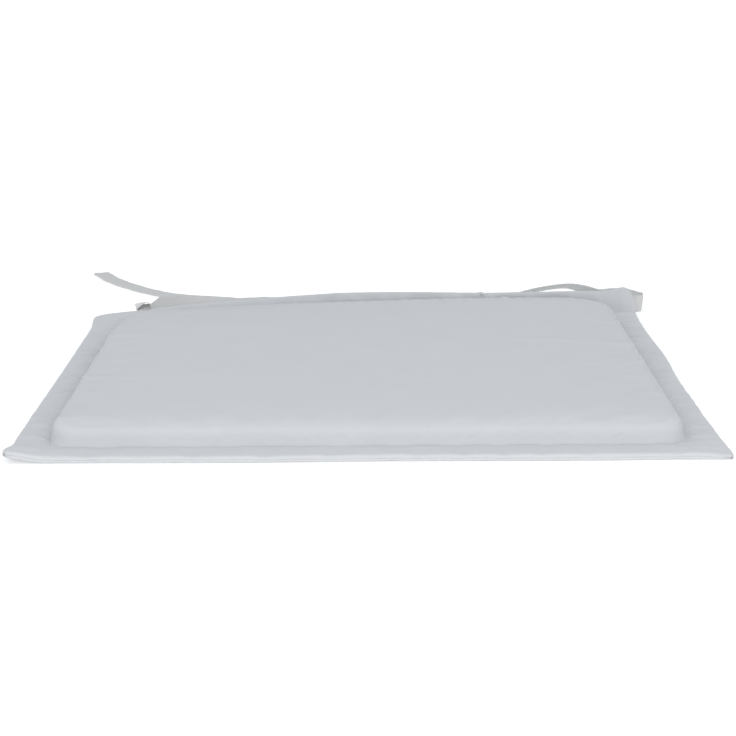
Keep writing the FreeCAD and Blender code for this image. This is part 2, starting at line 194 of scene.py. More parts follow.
def soft_noise(points, size, seed):
    """Smooth noise, about -1 to 1, whose lumps are that size."""
    offset = Vector((seed * 7.3, seed * 3.1, seed * 5.7))
    return np.array([noise.noise(Vector(point) / size + offset) for point in points])


def unit(vectors):
    """The vectors at length one."""
    return vectors / np.maximum(np.linalg.norm(vectors, axis=-1, keepdims=True), 1e-12)


def above_table(points):
    """The points, with any below the table's surface lifted onto it."""
    points[..., 2] = np.maximum(points[..., 2], TABLE)
    return points


def walked_along(line):
    """The distance along a line to each of its points."""
    steps = np.linalg.norm(np.diff(line, axis=0), axis=1)
    return np.concatenate([[0], np.cumsum(steps)])


def evenly(line, pitch, closed=False):
    """Even stops along a line, each as a fractional number of its points."""
    walked = walked_along(line)
    count = max(2, int(round(walked[-1] / pitch)))
    stops = np.linspace(0, walked[-1], count, endpoint=not closed)
    return np.interp(stops, walked, np.arange(len(line)))


def at(values, number):
    """Values at fractional places along a list."""
    low = np.clip(np.floor(number).astype(int), 0, len(values) - 2)
    share = (number - low)[:, None]
    return values[low] * (1 - share) + values[low + 1] * share


def mesh_object(name, points, faces, material, flat=None):
    """A smooth-shaded mesh. flat is each point's place on the fabric, for its weave."""
    mesh = bpy.data.meshes.new(name)
    mesh.from_pydata(np.asarray(points).reshape(-1, 3).tolist(), [], np.asarray(faces).tolist())
    mesh.shade_smooth()
    if flat is not None:
        corners = np.empty(len(mesh.loops), dtype=np.int32)
        mesh.loops.foreach_get("vertex_index", corners)
        layer = mesh.uv_layers.new(name="weave")
        layer.data.foreach_set("uv", flat.reshape(-1, 2)[corners].astype(np.float32).ravel())
    mesh.materials.append(material)
    piece = bpy.data.objects.new(name, mesh)
    bpy.context.scene.collection.objects.link(piece)
    return piece


def grid_faces(index):
    """Quads of a grid of point numbers."""
    corners = (index[:-1, :-1], index[1:, :-1], index[1:, 1:], index[:-1, 1:])
    return np.stack(corners, axis=-1).reshape(-1, 4)


def strip_faces(rows, around):
    """Quads of a tube of rows, each of the same outline, with its two ends closed."""
    index = np.arange(rows * around).reshape(rows, around)
    index = np.concatenate([index, index[:, :1]], axis=1)
    ends = []
    for first, turn in ((0, 1), ((rows - 1) * around, -1)):
        for n in range(around // 2 - 1):
            quad = (first + n, first + n + 1, first + around - 2 - n, first + around - 1 - n)
            ends.append(quad[::turn])
    return np.concatenate([grid_faces(index), np.array(ends)])


def perimeter(size):
    """Row and column of each point round a square grid, anticlockwise seen from above."""
    steps = np.arange(size - 1)
    low, high = np.zeros_like(steps), np.full_like(steps, size - 1)
    rows = np.concatenate([steps, high, high - steps, low])
    columns = np.concatenate([low, steps, high, high - steps])
    return rows, columns


def layered_faces(size):
    """Quads of an upper and a lower square grid of points, closed by a band round their edges."""
    index = np.arange(size * size).reshape(size, size)
    ring = index[perimeter(size)]
    following = np.roll(ring, -1)
    lower = size * size
    band = np.stack([ring, ring + lower, following + lower, following], axis=-1)
    return np.concatenate([grid_faces(index), grid_faces(index + lower)[:, ::-1], band])


def route_line(route):
    """Points of the smooth NURBS spline whose control points are the route."""
    curve = bpy.data.curves.new("route", "CURVE")
    curve.dimensions = "3D"
    curve.resolution_u = 16
    spline = curve.splines.new("NURBS")
    spline.points.add(len(route) - 1)
    for point, place in zip(spline.points, route):
        point.co = (*place, 1)
    spline.order_u = 3
    spline.use_endpoint_u = True
    holder = bpy.data.objects.new("route", curve)
    bpy.context.scene.collection.objects.link(holder)
    mesh = bpy.data.meshes.new_from_object(holder)
    line = np.array([list(vertex.co) for vertex in mesh.vertices])
    bpy.data.objects.remove(holder)
    bpy.data.curves.remove(curve)
    bpy.data.meshes.remove(mesh)
    return line


def declare(piece, slot, *nodes):
    """The piece rides on the pad and stands for its CAD nodes, which are hidden. slot, the piece's
    finish, is not used.
    """
    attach(piece, "root")
    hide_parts(*nodes)
    return piece


# ---------------------------------------------------------------- materials
class Nodes:
    """Short forms for building one material."""

    def __init__(self, name, roughness, specular, sheen=0.0):
        self.material = bpy.data.materials.new(name)
        self.material.use_nodes = True
        self.tree = self.material.node_tree
        self.shader = self.tree.nodes["Principled BSDF"]
        self.shader.inputs["Specular IOR Level"].default_value = specular
        self.shader.inputs["Roughness"].default_value = roughness
        self.shader.inputs["Sheen Weight"].default_value = sheen
        self.shader.inputs["Sheen Roughness"].default_value = 0.6

    def add(self, kind, **inputs):
        """A node, with its inputs set to values or linked to sockets."""
        node = self.tree.nodes.new(kind)
        for key, value in inputs.items():
            self.feed(node.inputs[key], value)
        return node

    def feed(self, socket, value):
        """Links the socket to another, or sets it to a value."""
        if isinstance(value, bpy.types.NodeSocket):
            self.tree.links.new(value, socket)
        else:
            socket.default_value = value

    def math(self, operation, first, second):
        node = self.tree.nodes.new("ShaderNodeMath")
        node.operation = operation
        self.feed(node.inputs[0], first)
        self.feed(node.inputs[1], second)
        return node.outputs[0]

    def mix(self, factor, first, second):
        node = self.tree.nodes.new("ShaderNodeMix")
        node.data_type = "RGBA"
        self.feed(node.inputs["Factor"], factor)
        self.feed(node.inputs["A"], first)
        self.feed(node.inputs["B"], second)
        return node.outputs["Result"]

    def place(self):
        """Each point's place on the object."""
        return self.add("ShaderNodeTexCoord").outputs["Object"]

    def scaled(self, vector, scale):
        return self.add("ShaderNodeMapping", Vector=vector, Scale=scale).outputs[0]

    def noise(self, vector, scale, detail=2.0):
        node = self.add("ShaderNodeTexNoise", Vector=vector, Scale=scale, Detail=detail)
        return node.outputs["Fac"]

    def wave(self, vector, direction):
        """Bands with one period to each unit."""
        node = self.add("ShaderNodeTexWave", Vector=vector, Scale=math.pi / 10)
        node.bands_direction = direction
        return node.outputs["Fac"]

    def tint(self, tone, first, second):
        """Colours the surface from the first, where the tone is 0, to the second, where it is 1."""
        self.feed(self.shader.inputs["Base Color"], self.mix(tone, first, second))

    def bump(self, height, distance):
        node = self.add("ShaderNodeBump", Height=height, Distance=distance, Strength=1.0)
        self.tree.links.new(node.outputs[0], self.shader.inputs["Normal"])


def woven(name, light, dark, pitch, relief, roughness, sheen):
    """Plain weave: over-and-under threads with painted shade in their hollows, uneven yarns and a
    faint cloudiness.
    """
    slub = 30.0  # lumps to the metre along a yarn
    nodes = Nodes(name, roughness, 0.18, sheen)
    uv_map = nodes.add("ShaderNodeUVMap")
    uv_map.uv_map = "weave"
    place = uv_map.outputs[0]
    threads = nodes.scaled(place, (0.5 / pitch, 0.5 / pitch, 1))
    warp, weft = nodes.wave(threads, "X"), nodes.wave(threads, "Y")
    both = nodes.math("MULTIPLY", warp, weft)
    no_warp, no_weft = nodes.math("SUBTRACT", 1.0, warp), nodes.math("SUBTRACT", 1.0, weft)
    weave = nodes.math("ADD", both, nodes.math("MULTIPLY", no_warp, no_weft))
    warp_yarn = nodes.noise(nodes.scaled(place, (1.0 / pitch, slub, 1)), 1.0)
    weft_yarn = nodes.noise(nodes.scaled(place, (slub, 1.0 / pitch, 1)), 1.0)
    yarn = nodes.math("MULTIPLY", nodes.math("ADD", warp_yarn, weft_yarn), 0.5)
    cloud = nodes.noise(place, 26.0, 3.0)
    tone = nodes.math("ADD", nodes.math("MULTIPLY", yarn, 0.6), nodes.math("MULTIPLY", cloud, 0.4))
    # painted shade: the tone is darker where the weave's bump is low, in the hollows between threads
    hollow_shade = nodes.math("MULTIPLY", nodes.math("SUBTRACT", weave, 0.5), 0.2)
    nodes.tint(nodes.math("ADD", tone, hollow_shade), dark, light)
    rough = nodes.math("ADD", roughness - 0.05, nodes.math("MULTIPLY", cloud, 0.1))
    nodes.feed(nodes.shader.inputs["Roughness"], rough)
    nodes.bump(nodes.math("ADD", weave, nodes.math("MULTIPLY", yarn, 0.8)), relief)
    return nodes.material


def spun(name, light, dark, fibre):
    """Sewing thread: lumps of spun fibre, with a little lint."""
    nodes = Nodes(name, 0.7, 0.25, 0.1)
    place = nodes.place()
    plies = nodes.noise(nodes.scaled(place, (1 / fibre, 1 / fibre, 2 / fibre)), 1.0, 1.0)
    lint = nodes.noise(place, 900.0)
    nodes.tint(nodes.math("MULTIPLY", nodes.math("ADD", plies, lint), 0.5), dark, light)
    nodes.bump(plies, fibre / 4)
    return nodes.material


def foamed(name, light, dark, cell):
    """Cut polyether foam: small open cells, with painted shade darkening their hollows."""
    nodes = Nodes(name, 0.9, 0.1)
    place = nodes.place()
    cells = nodes.add("ShaderNodeTexVoronoi", Vector=place, Scale=1 / cell).outputs["Distance"]
    cloud = nodes.math("MULTIPLY", nodes.noise(place, 30.0), 0.3)
    # painted shade: the tone is darkest at each cell's middle, where its hollow lies
    nodes.tint(nodes.math("ADD", cells, cloud), dark, light)
    nodes.bump(cells, cell / 3)
    return nodes.material


def table_top(name, colour, glow):
    """A white table that gives an even light, with a trace of unevenness."""
    nodes = Nodes(name, 0.9, 0.0)
    duller = [channel * 0.99 for channel in colour[:3]] + [1]
    nodes.tint(nodes.noise(nodes.place(), 2.0), colour, duller)
    nodes.shader.inputs["Emission Color"].default_value = (1, 1, 1, 1)
    nodes.shader.inputs["Emission Strength"].default_value = glow
    return nodes.material


COVER_FABRIC = woven(
    "cover_fabric", light=(0.580, 0.595, 0.616, 1), dark=(0.494, 0.511, 0.534, 1),
    pitch=0.0008, relief=0.00003, roughness=0.85, sheen=0.22,
)
TIE_FABRIC = woven(
    "tie_fabric", light=(0.610, 0.615, 0.615, 1), dark=(0.522, 0.528, 0.533, 1),
    pitch=0.0008, relief=0.00004, roughness=0.85, sheen=0.10,
)
LABEL_TAPE = woven(
    "label_tape", light=(0.740, 0.745, 0.740, 1), dark=(0.640, 0.645, 0.645, 1),
    pitch=0.0004, relief=0.00005, roughness=0.55, sheen=0.05,
)
SEWING_THREAD = spun(
    "sewing_thread", light=(0.600, 0.612, 0.630, 1), dark=(0.470, 0.482, 0.500, 1), fibre=0.0004
)
FOAM = foamed("foam", light=(0.78, 0.76, 0.66, 1), dark=(0.62, 0.60, 0.50, 1), cell=0.0012)


# ---------------------------------------------------------------- the covers' flat form
def rounded_square(u, v, reach, front, back):
    """Moves the point (u, v) of a square ring onto a square of that reach with round corners.

    front and back are the corner radii on those two sides.
    """
    across = np.abs(u) >= np.abs(v)
    ring = np.maximum(np.maximum(np.abs(u), np.abs(v)), 1e-9)
    share = np.where(across, np.abs(v), np.abs(u)) / ring
    radius = np.where(v < 0, front, back)
    straight = reach - radius
    walked = share * (straight + radius * math.pi / 4)
    turn = np.maximum(walked - straight, 0) / radius
    near = np.where(turn > 0, straight + radius * np.sin(turn), walked)
    far = straight + radius * np.cos(turn)
    x = np.sign(u) * np.where(across, far, near)
    y = np.sign(v) * np.where(across, near, far)
    return x, y


def corner_radii(reach):
    """Front and back corner radii of the ring at that reach from the pad's middle."""
    inward = np.clip((HALF - reach) / FLANGE, 0, 1)
    shrunk = np.minimum(reach / SEAM_HALF, 1)
    front = FLANGE_FRONT_CORNER + inward * (BODY_FRONT_CORNER - FLANGE_FRONT_CORNER)
    back = FLANGE_BACK_CORNER + inward * (BODY_BACK_CORNER - FLANGE_BACK_CORNER)
    return np.maximum(front * shrunk, 1e-5), np.maximum(back * shrunk, 1e-5)


def ring_sizes(edge):
    """Reach, height and flat reach of each ring of a cover, from the edge to the middle."""
    inset, rise = (np.array(values, dtype=float) for values in zip(*edge))
    count = int(round((HALF - inset[-1]) / CELL))
    inner = (HALF - inset[-1]) * np.arange(count - 1, -1, -1) / count
    reach = np.concatenate([HALF - inset, inner])
    share = inner / (HALF - inset[-1])
    crown = CROWN * (1 - share**2.5) if rise[-1] > 0 else 0 * share
    height = np.concatenate([rise, rise[-1] + crown])
    steps = np.hypot(np.diff(reach), np.diff(height))
    flat = np.concatenate([np.cumsum(steps[::-1])[::-1], [0]])
    return reach, height, flat


def ring_numbers(size):
    """Each point's ring in a square grid of that size, from 0 at the edge."""
    middle = size // 2
    steps = np.abs(np.arange(size) - middle)
    return middle - np.maximum(steps[:, None], steps[None])


def finer(grid):
    """The grid with a point added between each two, on a cubic through its neighbours."""
    for axis in (0, 1):
        rows = np.moveaxis(grid, axis, 0)
        middle = (rows[:-1] + rows[1:]) / 2
        middle[1:-1] = (9 * (rows[1:-2] + rows[2:-1]) - rows[:-3] - rows[3:]) / 16
        wide = np.empty((2 * len(rows) - 1, *rows.shape[1:]))
        wide[0::2], wide[1::2] = rows, middle
        grid = np.moveaxis(wide, 0, axis)
    return grid


class Sheet:
    """The outside of one cover, as a square grid of points."""

    def __init__(self, side, edge):
        reach, height, flat = ring_sizes(edge)
        size = 2 * len(reach) - 1
        ring = ring_numbers(size)
        front, back = corner_radii(reach)
        steps = np.arange(size) - size // 2
        u, v = np.meshgrid(steps, steps, indexing="ij")
        x, y = rounded_square(u, v, reach[ring], front[ring], back[ring])
        flat_x, flat_y = rounded_square(u, v, flat[ring], front[ring], back[ring])
        self.side = side  # 1 for the top cover and -1 for the bottom cover
        self.points = np.stack([x, y, SEAM_Z + height[ring]], axis=-1)
        self.fabric = np.stack([flat_x, flat_y], axis=-1)  # place on the cut fabric
        self.plan = np.stack([x, y], axis=-1)  # place before the simulation
        self.inset = HALF - reach[ring]  # distance in from the flange edge

    def refine(self):
        """Adds a point between each two."""
        self.points, self.fabric = finer(self.points), finer(self.fabric)
        self.plan, self.inset = finer(self.plan), finer(self.inset)

    def normals(self):
        """Unit normals, out of the pad."""
        rows, columns = np.gradient(self.points, axis=0), np.gradient(self.points, axis=1)
        return self.side * unit(np.cross(rows, columns))


# ---------------------------------------------------------------- the covers' simulation
def shared_numbers(size):
    """Point numbers of the two covers' grids, which share their outermost ring.

    The first of the three results says which points of both grids, top then bottom, are kept.
    """
    top = np.arange(size * size).reshape(size, size)
    bottom = np.where(ring_numbers(size) == 0, top, top + size * size)
    kept, numbers = np.unique(np.stack([top, bottom]).ravel(), return_inverse=True)
    return kept, *numbers.reshape(2, size, size)


def simulated(points, faces, held, body):
    """The points after a cloth simulation: light pressure in slack, stitched fabric.

    held says how firmly each point is held in place, and body is 1 where the fabric is slack.
    """
    piece = mesh_object("cloth_work", points, faces, COVER_FABRIC)
    for name, weights in (("held", held), ("body", body)):
        group = piece.vertex_groups.new(name=name)
        for weight in np.unique(weights[weights > 0]):
            group.add(np.flatnonzero(weights == weight).tolist(), float(weight), "REPLACE")
    modifier = piece.modifiers.new("cloth", "CLOTH")
    cloth = modifier.settings
    cloth.quality = 6
    cloth.mass = 0.12
    cloth.tension_stiffness = cloth.compression_stiffness = 20
    cloth.shear_stiffness = 8
    cloth.bending_stiffness = 1.5
    cloth.effector_weights.gravity = 0
    cloth.use_pressure = True
    cloth.uniform_pressure_force = 1.5
    cloth.vertex_group_mass = "held"
    cloth.pin_stiffness = 1.0
    cloth.vertex_group_shrink = "body"
    cloth.shrink_min = -0.018
    cloth.shrink_max = -0.005
    modifier.collision_settings.use_collision = False
    modifier.collision_settings.use_self_collision = False
    scene = bpy.context.scene
    for number in range(1, 21):
        scene.frame_set(number)
    swollen = piece.evaluated_get(bpy.context.evaluated_depsgraph_get()).to_mesh()
    moved = np.empty(len(points) * 3)
    swollen.vertices.foreach_get("co", moved)
    scene.frame_set(1)
    bpy.data.objects.remove(piece)
    return moved.reshape(-1, 3)


def blow(top, bottom):
    """Moves both covers as the simulation does, but no point by more than a few millimetres."""
    size = len(top.points)
    ring = ring_numbers(size)
    kept, top_numbers, bottom_numbers = shared_numbers(size)
    start = np.concatenate([top.points.reshape(-1, 3), bottom.points.reshape(-1, 3)])[kept]
    points = start.copy()
    points[:, 2] += 0.0002 * soft_noise(points, 0.020, 1)
    faces = np.concatenate([grid_faces(top_numbers), grid_faces(bottom_numbers)[:, ::-1]])

    inside = ring > SEAM_RING
    shoulder = inside & (ring < len(TOP_EDGE))
    held = np.zeros(len(points))
    held[bottom_numbers[inside]] = 0.9
    held[top_numbers[inside]] = 0.06
    held[top_numbers[shoulder]] = 0.55
    held[top_numbers[ring == SEAM_RING]] = held[bottom_numbers[ring == SEAM_RING]] = 1.0
    held[top_numbers[ring == 0]] = 0.35
    body = np.zeros(len(points))
    body[top_numbers[inside]] = body[bottom_numbers[inside]] = 1.0

    shift = simulated(points, faces, held, body) - start
    reach = np.linalg.norm(shift, axis=1, keepdims=True)
    shift *= MOST_MOVE * np.tanh(reach / MOST_MOVE) / np.maximum(reach, 1e-9)
    # The outermost ring belongs to both covers, so its share is taken twice.
    for numbers in (top_numbers, bottom_numbers):
        shift[numbers[ring < SEAM_RING]] *= FLANGE_SHARE
    points = start + shift
    top.points, bottom.points = points[top_numbers], points[bottom_numbers]


# ---------------------------------------------------------------- the covers' details
def puckers(plan, inset, strength):
    """Height of the small folds that run across the flange, where its two covers gather."""
    random = np.random.default_rng(11)
    height = np.zeros(inset.shape)
    x, y = plan[..., 0], plan[..., 1]
    lift = np.sin(math.pi * np.clip(inset / FLANGE, 0, 1)) ** 0.7 * (inset < FLANGE)
    lift = lift * (0.15 + 0.85 * smooth(inset / 0.008))
    for outward, sideways, share in ((x, y, 1), (-x, y, 1), (y, x, 1), (-y, x, FRONT_GATHER)):
        mask = (outward >= np.abs(sideways) - 0.012) & (inset < FLANGE + 0.002)
        place = -HALF + 0.010
        total = np.zeros(int(mask.sum()))
        while place < HALF - 0.006:
            skew = random.normal(0, 0.28)
            breadth = random.uniform(THINNEST_GATHER, BROADEST_GATHER)
            tall = random.uniform(0.5, 1.3)
            offset = sideways[mask] - place - skew * (inset[mask] - FLANGE / 2)
            steep, gentle = np.exp(-((offset / breadth) ** 2)), np.exp(-offset / (3 * breadth))
            total += tall * np.where(offset < 0, steep, gentle)
            place += random.uniform(CLOSEST_GATHERS, WIDEST_GATHERS)
        height[mask] += share * total * lift[mask]
    return strength * height


def creased(plan):
    """Height of the named creases of the padded top."""
    height = np.zeros(plan.shape[:-1])
    for start, end, breadth, tall in CREASES:
        start, end = np.array(start), np.array(end)
        run = end - start
        share = np.clip(((plan - start) @ run) / (run @ run), 0, 1)
        away = np.linalg.norm(plan - start - share[..., None] * run, axis=-1)
        height += tall * (1 - 0.75 * share) * np.exp(-((away / breadth) ** 2))
    return height


def lipped(plan, inset):
    """Height of the lip where the cover is pulled over the foam's back and side edges."""
    x, y = plan[..., 0], plan[..., 1]
    behind = smooth((y - np.abs(x) + 0.02) / 0.04)
    beside = smooth((np.abs(x) - np.abs(y) + 0.02) / 0.04)
    past = inset - FLANGE - LIP_INSET
    before = smooth(1 + past / 0.0026)
    after = (np.exp(-past / 0.0010) + np.exp(-past / 0.0050)) / 2
    return (behind * along(BACK_LIP, x) + SIDE_LIP * beside) * np.where(past > 0, after, before)


def uneven(plan):
    """A faint unevenness of the padded top, about -1 to 1."""
    points = np.insert(plan.reshape(-1, 2), 2, 0, axis=1)
    return soft_noise(points, 0.075, 2).reshape(plan.shape[:-1])


def swayed(plan, inset):
    """Small moves in plan of the flange, whose edge isn't sewn quite straight."""
    x, y = plan[..., 0], plan[..., 1]
    sway = SWAY * np.sin(31 * x + 1.0) * np.cos(23 * y) * smooth(1 - inset / FLANGE)
    beside = np.abs(x) >= np.abs(y)
    return np.stack([sway * beside, sway * ~beside, 0 * sway], axis=-1)


# ---------------------------------------------------------------- how the pad lies
def pulled(points, corner, reach, move):
    """The points after a place on the pad moves and takes all within that reach along with it."""
    away = np.hypot(points[..., 0] - corner[0], points[..., 1] - corner[1])
    return points + smooth(1 - away / reach)[..., None] * np.array(move)


def sunk(points):
    """The points after the padded top has sunk at its back and front rims."""
    x, y, z = np.moveaxis(points, -1, 0)
    body = smooth((z - SEAM_Z - 0.002) / 0.004)
    back = smooth((y - BACK_SLOPE_START) / BACK_SLOPE_LENGTH)
    rim = along(BACK_RIM, x, 0.016) / (SEAM_Z + TOP_EDGE[-1][1])
    z = z + body * back * (rim - 1) * (z - SEAM_Z)
    from_front = y + SEAM_HALF - FRONT_SLOPE_START
    front = np.clip(1 - from_front / FRONT_SLOPE_LENGTH, 0, 1) ** 2
    z = z - body * front * FRONT_SINK * (z - SEAM_Z)
    return np.stack([x, y, z], axis=-1)


def curl_angle(x):
    """How steeply the back flange curls up at x, which gives its edge the height it has there."""
    angles = np.linspace(0.001, STEEPEST, 80)
    bent = BEND * (1 - np.cos(angles)) / angles
    return np.interp(along(BACK_EDGE, x), SEAM_Z + bent + (FLANGE - BEND) * np.sin(angles), angles)


def curled(points):
    """The points after the flange behind the border stitching has curled up."""
    x, y, z = np.moveaxis(points, -1, 0)
    angle = curl_angle(x)
    beyond = np.maximum(y - SEAM_HALF, 0)
    bent = np.minimum(beyond, BEND)
    straight = beyond - bent
    turned = angle * bent / BEND
    out = BEND / angle * np.sin(turned) + straight * np.cos(angle)
    rise = BEND / angle * (1 - np.cos(turned)) + straight * np.sin(angle)
    offset = z - SEAM_Z
    curled_y = SEAM_HALF + out - offset * np.sin(turned)
    curled_z = SEAM_Z + rise + offset * np.cos(turned)
    y, z = np.where(beyond > 0, curled_y, y), np.where(beyond > 0, curled_z, z)
    return np.stack([x, y, z], axis=-1)


def drawn_out(points):
    """The points after the front flange is drawn forward, down and out at its corners."""
    x, y, _ = np.moveaxis(points, -1, 0)
    ahead = smooth((-y - SEAM_HALF) / FLANGE)
    outward = np.sign(x) * smooth((np.abs(x) - OUTWARD_START) / OUTWARD_LENGTH)
    move = (ahead * outward * FRONT_OUTWARD, -ahead * FRONT_FORWARD, -ahead * FRONT_DOWN)
    return points + np.stack(move, axis=-1)


def waisted(points):
    """The points after the right side of the flange is drawn in near its middle."""
    x, y, _ = np.moveaxis(points, -1, 0)
    waist = smooth((x - SEAM_HALF) / FLANGE) * np.exp(-(((y - WAIST_Y) / WAIST_LENGTH) ** 2))
    return points - RIGHT_WAIST * waist[..., None] * np.array([1, 0, 0])


def settled(points):
    """Where points of the flat, even pad go as its back flange curls and its corners are pulled."""
    points = curled(pulled(sunk(np.array(points, dtype=float)), *BACK_RIGHT_PULL))
    for pull in FRONT_PULLS:
        points = pulled(points, *pull)
    points = drawn_out(points)
    for pull in BACK_LEFT_PULLS:
        points = pulled(points, *pull)
    return waisted(points)


# ---------------------------------------------------------------- covers and foam
def finish_sheet(sheet):
    """Adds a cover's folds, creases, lip and unevenness, then settles it."""
    plan, inset = sheet.plan, sheet.inset
    normals = sheet.normals()
    height = puckers(plan, inset, TOP_GATHER if sheet.side > 0 else BOTTOM_GATHER)
    if sheet.side > 0:
        sheet.points[..., 2] += lipped(plan, inset)
        height += creased(plan) * smooth((inset - FLANGE - 0.003) / 0.004)
        height += UNEVEN * uneven(plan) * smooth((inset - FLANGE - 0.006) / 0.03)
    height[inset < 1e-6] = 0
    points = sheet.points + normals * height[..., None] + swayed(plan, inset)
    sheet.points = above_table(settled(points))


def form_sheets():
    """The outsides of the top and bottom covers, as they lie."""
    top, bottom = Sheet(1, TOP_EDGE), Sheet(-1, BOTTOM_EDGE)
    blow(top, bottom)
    for sheet in (top, bottom):
        sheet.refine()
        finish_sheet(sheet)
    rim = perimeter(len(top.points))
    top.points[rim] = bottom.points[rim] = (top.points[rim] + bottom.points[rim]) / 2
    return top, bottom


def build_cover(name, sheet, other, node):
    """One cover as a closed layer of cloth, whose rim lies in the turned outer seam."""
    size = len(sheet.points)
    inner = sheet.points - sheet.normals() * CLOTH
    rim = perimeter(size)
    inside = np.clip(rim[0], 1, size - 2), np.clip(rim[1], 1, size - 2)
    middle = (sheet.points[inside] + other.points[inside]) / 2
    inner[rim] = sheet.points[rim] + unit(middle - sheet.points[rim]) * CLOTH
    faces = layered_faces(size)[:, :: sheet.side]
    flat = np.stack([sheet.fabric, sheet.fabric])
    piece = mesh_object(name, np.stack([sheet.points, inner]), faces, COVER_FABRIC, flat)
    declare(piece, "cover_fabric", node)


def build_foam(top, bottom):
    """The cut slab, just inside the covers."""
    start = 2 * (SEAM_RING + 2)
    layers = []
    for sheet in (top, bottom):
        layer = sheet.points - sheet.normals() * (CLOTH + FOAM_GAP)
        layers.append(layer[start:-start:2, start:-start:2])
    piece = mesh_object("foam_slab", np.stack(layers), layered_faces(len(layers[0])), FOAM)
    declare(piece, "foam", "foam_core")


# ---------------------------------------------------------------- stitches
def bead_rows(name, centres, forward, upward, length, thickness):
    """Separate stitches: each a short thread whose two ends dip into the cloth."""
    forward = unit(forward)
    upward = unit(upward - forward * np.sum(upward * forward, axis=1, keepdims=True))
    sideways = np.cross(forward, upward)
    stations = np.array([-0.5, -0.46, -0.28, 0, 0.28, 0.46, 0.5])  # places along a stitch
    girth = np.array([0.35, 0.75, 1, 1, 1, 0.75, 0.35]) * thickness / 2
    dip = -1.6 * thickness * (2 * np.abs(stations)) ** 3
    sides = 6
    turns = np.arange(sides) * 2 * math.pi / sides
    local = np.array([
        (station * length, radius * math.cos(turn), drop + radius * math.sin(turn))
        for station, radius, drop in zip(stations, girth, dip)
        for turn in turns
    ])
    points = (
        centres[:, None]
        + local[None, :, 0:1] * forward[:, None]
        + local[None, :, 1:2] * sideways[:, None]
        + local[None, :, 2:3] * upward[:, None]
    )
    pattern = strip_faces(len(stations), sides)
    faces = (np.arange(len(centres))[:, None, None] * len(local) + pattern).reshape(-1, 4)
    return mesh_object(name, above_table(points), faces, SEWING_THREAD)


def border_stitches(name, sheet, node):
    """The border seam's stitches on one cover, round the foam."""
    first = 2 * SEAM_RING
    rows, columns = perimeter(len(sheet.points) - 2 * first)
    seam = np.append(rows, rows[0]) + first, np.append(columns, columns[0]) + first
    line = sheet.points[seam]
    facing = unit(sheet.normals()[seam] + np.array([0, 0, 2.0 * sheet.side]))
    number = evenly(line, STITCH_PITCH, closed=True)
    centres = at(line, number) + at(facing, number) * THREAD * 0.15
    forward = at(np.gradient(line, axis=0), number)
    piece = bead_rows(name, centres, forward, at(facing, number), STITCH_LENGTH, THREAD)
    declare(piece, "thread", node)


def edge_seam_stitches():
    """The turned outer seam's stitches, hidden between the covers."""
    reach = EDGE_THREAD_HIGH[0] - THREAD / 2
    side = np.linspace(-1, 1, 160, endpoint=False)
    ones = np.ones_like(side)
    u = np.concatenate([side, ones, -side, -ones])
    v = np.concatenate([-ones, side, ones, -side])
    x, y = rounded_square(u, v, reach, *corner_radii(reach))
    line = settled(np.stack([x, y, np.full_like(x, SEAM_Z)], axis=-1))
    line = np.concatenate([line, line[:1]])
    number = evenly(line, STITCH_PITCH, closed=True)
    forward = at(np.gradient(line, axis=0), number)
    upward = np.tile([0.0, 0.0, 1.0], (len(number), 1))
    piece = bead_rows(
        "edge_seam_stitches", at(line, number), forward, upward, STITCH_LENGTH, THREAD
    )
    declare(piece, "thread", "edge_seam_thread")


# ---------------------------------------------------------------- ties
def tie_root(x, layer):
    """Where a tail leaves the curled flange edge, for one layer of the folded tie."""
    return tuple(settled([x, HALF - 0.0015, SEAM_Z + layer]))


LEFT_OUTER = (
    tie_root(TIE_X, TIE_LAYER), (-0.092, 0.2305, 0.0160), (-0.0922, 0.2430, 0.0085),
    (-0.095, 0.2600, 0.0020), (-0.106, 0.280, 0.0019), (-0.124, 0.2925, 0.0019),
    (-0.148, 0.3010, 0.0019), (-0.174, 0.3115, 0.0014), (-0.200, 0.3345, 0.0012),
    (-0.226, 0.3680, 0.0014), (-0.248, 0.404, 0.0014), (-0.2600, 0.437, 0.0010),
)
LEFT_INNER = (
    tie_root(TIE_X, -TIE_LAYER), (-0.092, 0.2290, 0.0130), (-0.0915, 0.2410, 0.0055),
    (-0.088, 0.259, 0.0007), (-0.074, 0.280, 0.0007), (-0.057, 0.293, 0.0007),
    (-0.034, 0.302, 0.0007), (-0.004, 0.307, 0.0007), (0.032, 0.309, 0.0007),
    (0.070, 0.307, 0.0007), (0.108, 0.3035, 0.0007), (0.146, 0.303, 0.0007),
)
RIGHT_INNER = (
    tie_root(-TIE_X, -TIE_LAYER), (0.087, 0.2300, 0.0150), (0.072, 0.2415, 0.0085),
    (0.047, 0.2500, 0.0064), (0.016, 0.2535, 0.0062), (-0.015, 0.2535, 0.0062),
    (-0.048, 0.2520, 0.0062), (-0.082, 0.2525, 0.0058), (-0.116, 0.2500, 0.0058),
    (-0.146, 0.2455, 0.0074), (-0.169, 0.2420, 0.0077), (-0.1905, 0.2405, 0.0077),
)
RIGHT_OUTER = (
    tie_root(-TIE_X, TIE_LAYER), (0.098, 0.2290, 0.0150), (0.115, 0.2360, 0.0125),
    (0.135, 0.2380, 0.0170), (0.155, 0.2360, 0.0215), (0.176, 0.2350, 0.0243),
    (0.196, 0.2360, 0.0170), (0.214, 0.2360, 0.0085), (0.2330, 0.2330, 0.0075),
    (0.2400, 0.2370, 0.0075), (0.2390, 0.2510, 0.0070), (0.2280, 0.2740, 0.0065),
    (0.2034, 0.285, 0.0045), (0.169, 0.287, 0.0012), (0.1345, 0.286, 0.0008),
)
